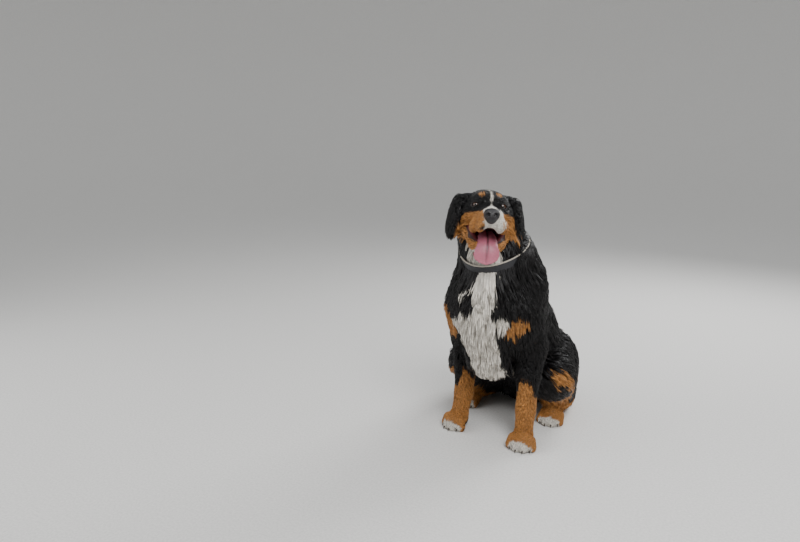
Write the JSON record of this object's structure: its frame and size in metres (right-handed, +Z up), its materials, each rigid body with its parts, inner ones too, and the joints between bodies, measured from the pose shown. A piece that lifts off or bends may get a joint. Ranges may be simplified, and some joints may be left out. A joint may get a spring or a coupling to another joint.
{
  "type": "bernese mountain dog",
  "caption": "Life-size seated dog with a long wavy three-coloured coat, panting with its head turned and wearing a plain collar; a still display model.",
  "frame": {"origin": "the middle of the model's footprint box, on the floor that it sits on", "axes": "+Z up, -Y the way the dog's chest faces, +X towards the dog's left"},
  "size_m": [0.4954, 0.9794, 0.8699],
  "materials": {
    "coat_black": "glossy long hair",
    "coat_rust": "hair",
    "coat_white": "hair",
    "nose_skin": "damp, finely grained skin",
    "tongue_skin": "wet skin",
    "collar_leather": "dark smooth leather",
    "collar_piping": "pale woven piping",
    "eye_surface": "clear wet eye with a dark brown iris"
  },
  "bodies": {
    "root": {"neck": "coat_black", "tail_root": "coat_black", "tail_tip": "coat_black", "chest": "coat_white", "torso": "coat_black", "rump": "coat_black", "head": "coat_black", "lower_jaw": "coat_rust", "nose": "nose_skin", "tongue": "tongue_skin", "collar": "collar_leather", "collar_trim_upper": "collar_piping", "collar_trim_lower": "collar_piping", "forepaw_left": "coat_rust", "foreleg_left": "coat_black", "hindpaw_left": "coat_rust", "thigh_left": "coat_black", "ear_left": "coat_black", "eye_left": "eye_surface", "forepaw_right": "coat_rust", "foreleg_right": "coat_black", "hindpaw_right": "coat_rust", "thigh_right": "coat_black", "ear_right": "coat_black", "eye_right": "eye_surface"}
  },
  "joints": []
}
